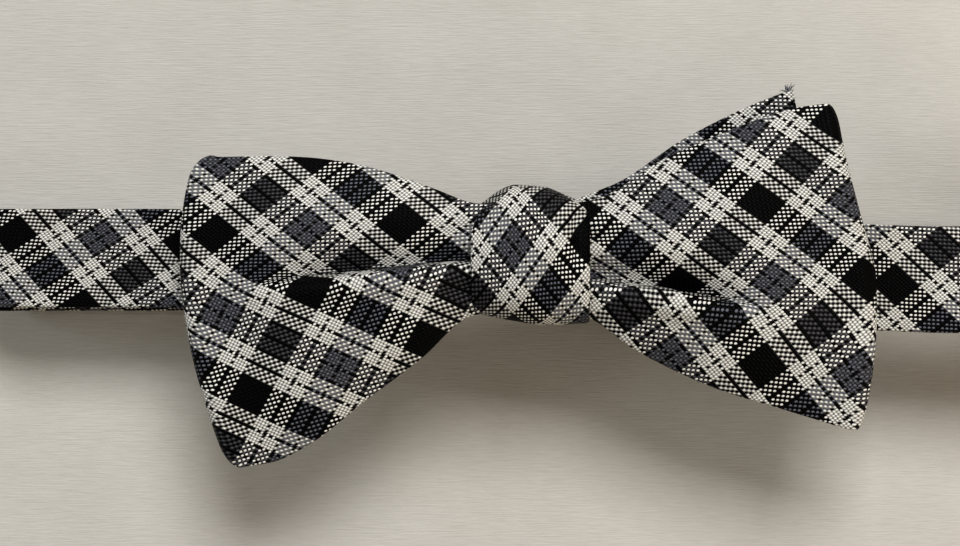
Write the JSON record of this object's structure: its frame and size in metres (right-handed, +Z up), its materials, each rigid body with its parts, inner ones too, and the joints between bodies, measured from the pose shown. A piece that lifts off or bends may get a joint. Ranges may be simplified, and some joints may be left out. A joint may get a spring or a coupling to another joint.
{
  "type": "bow tie",
  "caption": "Ready-tied plaid bow tie: folded front loop, flat rear piece and wrapped knot on a curled neckband with hook, eye and slide.",
  "frame": {"origin": "centre of the bounding box, on the surface that the curled neckband rests on", "axes": "+X along the neckband and the bow's wings, +Y towards the bow's upper edge, +Z up and out of the bow's front"},
  "size_m": [0.208, 0.067, 0.0361],
  "materials": {
    "plaid_silk": "woven plaid in ivory, black and blue-grey, soft satin",
    "interlining": "matte woven canvas",
    "plated_metal": "satin nickel plate",
    "sewing_thread": "spun polyester thread",
    "label_cloth": "blank satin-woven label"
  },
  "bodies": {
    "neckband": {"neckband_shell": "plaid_silk", "neckband_interlining": "interlining", "eye_tack_stitches": "sewing_thread", "care_label": "label_cloth", "label_stitches": "sewing_thread"},
    "bow": {"rear_bow_shell": "plaid_silk", "rear_bow_interlining": "interlining", "front_bow_shell": "plaid_silk", "front_bow_interlining": "interlining", "knot_shell": "plaid_silk", "knot_interlining": "interlining", "waist_lashing": "sewing_thread", "loop_end_stitches": "sewing_thread", "knot_closing_stitches": "sewing_thread"},
    "adjuster": {"slide_adjuster": "plated_metal", "slide_tack_stitches": "sewing_thread"},
    "hook_end": {"strap_loop_shell": "plaid_silk", "strap_loop_interlining": "interlining"},
    "hook": {"hook": "plated_metal"},
    "eye": {"eye": "plated_metal"}
  },
  "joints": [
    {"name": "bow_slide", "type": "slide", "parent": "neckband", "child": "bow", "axis": [0.9992, 0, 0.0405], "range_m": [-0.006, 0.006]},
    {"name": "adjuster_slide", "type": "slide", "parent": "neckband", "child": "adjuster", "axis": [1, 0, 0], "range_m": [-0.012, 0.022], "deforming": ["strap_loop_shell", "strap_loop_interlining"]},
    {"name": "hook_travel", "type": "slide", "parent": "adjuster", "child": "hook_end", "axis": [1, 0, 0], "range_m": [-0.011, 0.006]},
    {"name": "hook_hinge", "type": "hinge", "parent": "hook_end", "child": "hook", "pos_m": [0.006, 0.0028, 0.00273], "axis": [0, 1, 0], "range_deg": [0, 100]},
    {"name": "eye_hinge", "type": "hinge", "parent": "neckband", "child": "eye", "pos_m": [-0.026, 0.0028, 0.00153], "axis": [0, -1, 0], "range_deg": [0, 110]}
  ],
  "couplings": [
    {"joint": "hook_travel", "follows": "adjuster_slide", "ratio": -0.5}
  ]
}
